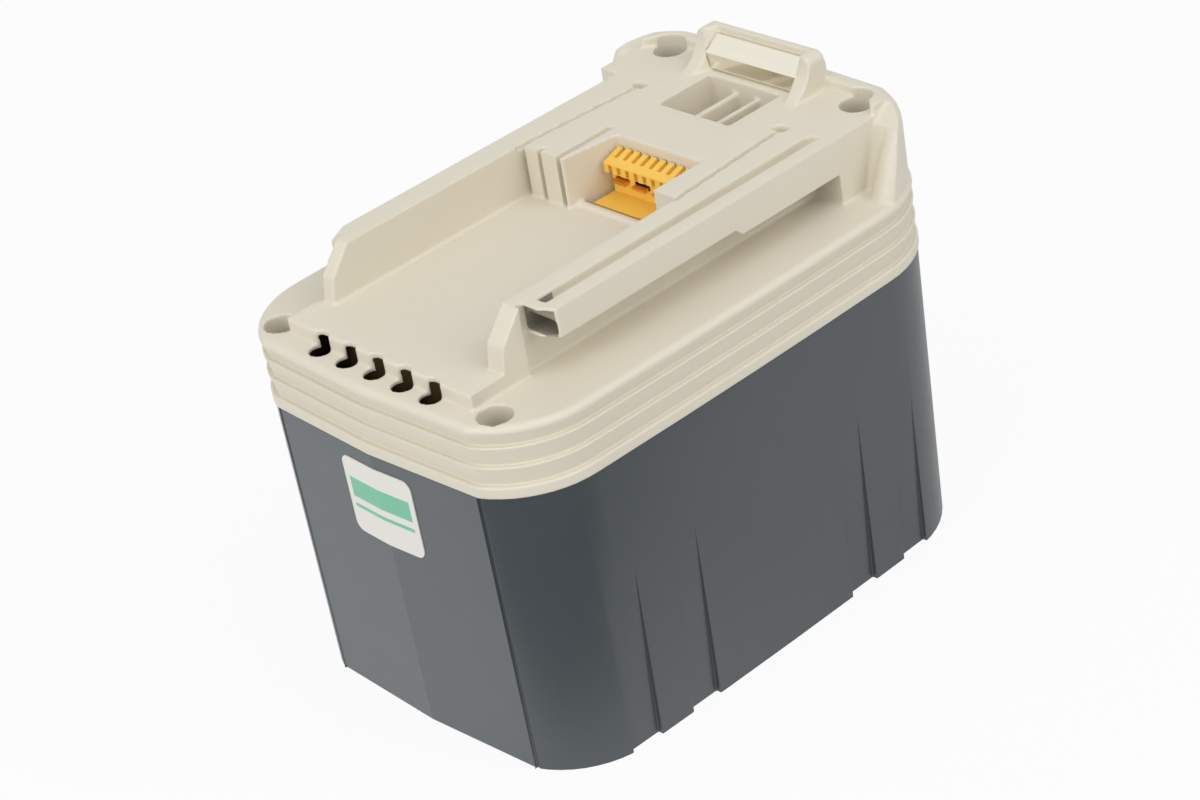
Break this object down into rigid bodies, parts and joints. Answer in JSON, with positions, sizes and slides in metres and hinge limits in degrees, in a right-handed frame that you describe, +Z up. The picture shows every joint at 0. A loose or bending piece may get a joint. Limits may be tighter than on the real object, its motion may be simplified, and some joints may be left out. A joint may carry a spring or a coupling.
{
  "type": "power tool battery pack",
  "caption": "Slide-on rechargeable battery pack for a power tool: dark case, beige rail cap, yellow terminal holder, steel catch plate and cells inside.",
  "frame": {"origin": "centre of the underside of the case", "axes": "+Z up, +Y along the slide rails towards the catch plate, +X to the side with the grooved rail"},
  "size_m": [0.0806, 0.117, 0.0956],
  "materials": {
    "case_plastic": "fine matt grain",
    "cap_plastic": "smooth matt",
    "catch_steel": "brushed",
    "holder_plastic": "smooth",
    "leaf_metal": "bright",
    "tag_metal": "bright",
    "screw_steel": "zinc plated",
    "label_film": "printed film, plain colour fields",
    "cell_can": "steel can in a printed shrink sleeve, one plain colour",
    "nickel": "plain strip",
    "fibre": "plain board",
    "pad_rubber": "foam pad",
    "cutout_body": "smooth",
    "bead_resin": "glossy resin",
    "red_lead": "satin insulation",
    "black_lead": "satin insulation",
    "pale_lead": "satin insulation"
  },
  "bodies": {
    "pack": {"lower_case": "case_plastic", "top_cap": "cap_plastic", "catch_plate": "catch_steel", "terminal_holder": "holder_plastic", "contact_tags": "tag_metal", "cap_screws": "screw_steel", "rating_label": "label_film", "pair_straps": "nickel", "links_front": "nickel", "links_rear": "nickel", "end_board_front": "fibre", "end_board_rear": "fibre", "bottom_pad": "pad_rubber", "top_pad": "pad_rubber", "thermal_cutout": "cutout_body", "thermistor": "bead_resin", "lead_positive": "red_lead", "lead_negative": "black_lead", "sense_leads": "pale_lead", "cell_01": "cell_can", "cell_02": "cell_can", "cell_03": "cell_can", "cell_04": "cell_can", "cell_05": "cell_can", "cell_06": "cell_can", "cell_07": "cell_can", "cell_08": "cell_can", "cell_09": "cell_can", "cell_10": "cell_can", "cell_11": "cell_can", "cell_12": "cell_can", "cell_13": "cell_can", "cell_14": "cell_can", "cell_15": "cell_can", "cell_16": "cell_can", "cell_17": "cell_can", "cell_18": "cell_can"},
    "leaf_1": {"contact_leaf_1": "leaf_metal"},
    "leaf_2": {"contact_leaf_2": "leaf_metal"},
    "leaf_3": {"contact_leaf_3": "leaf_metal"},
    "leaf_4": {"contact_leaf_4": "leaf_metal"}
  },
  "joints": [
    {"name": "leaf_1_lift", "type": "hinge", "parent": "pack", "child": "leaf_1", "pos_m": [-0.00438, 0.01553, 0.08035], "axis": [-1, 0, 0], "range_deg": [0, 8], "stiffness_Nm_per_rad": 0.02},
    {"name": "leaf_2_lift", "type": "hinge", "parent": "pack", "child": "leaf_2", "pos_m": [0.00108, 0.01553, 0.08035], "axis": [-1, 0, 0], "range_deg": [0, 8], "stiffness_Nm_per_rad": 0.02},
    {"name": "leaf_3_lift", "type": "hinge", "parent": "pack", "child": "leaf_3", "pos_m": [0.00653, 0.01553, 0.08035], "axis": [-1, 0, 0], "range_deg": [0, 8], "stiffness_Nm_per_rad": 0.02},
    {"name": "leaf_4_lift", "type": "hinge", "parent": "pack", "child": "leaf_4", "pos_m": [0.01197, 0.01553, 0.08035], "axis": [-1, 0, 0], "range_deg": [0, 8], "stiffness_Nm_per_rad": 0.02}
  ]
}
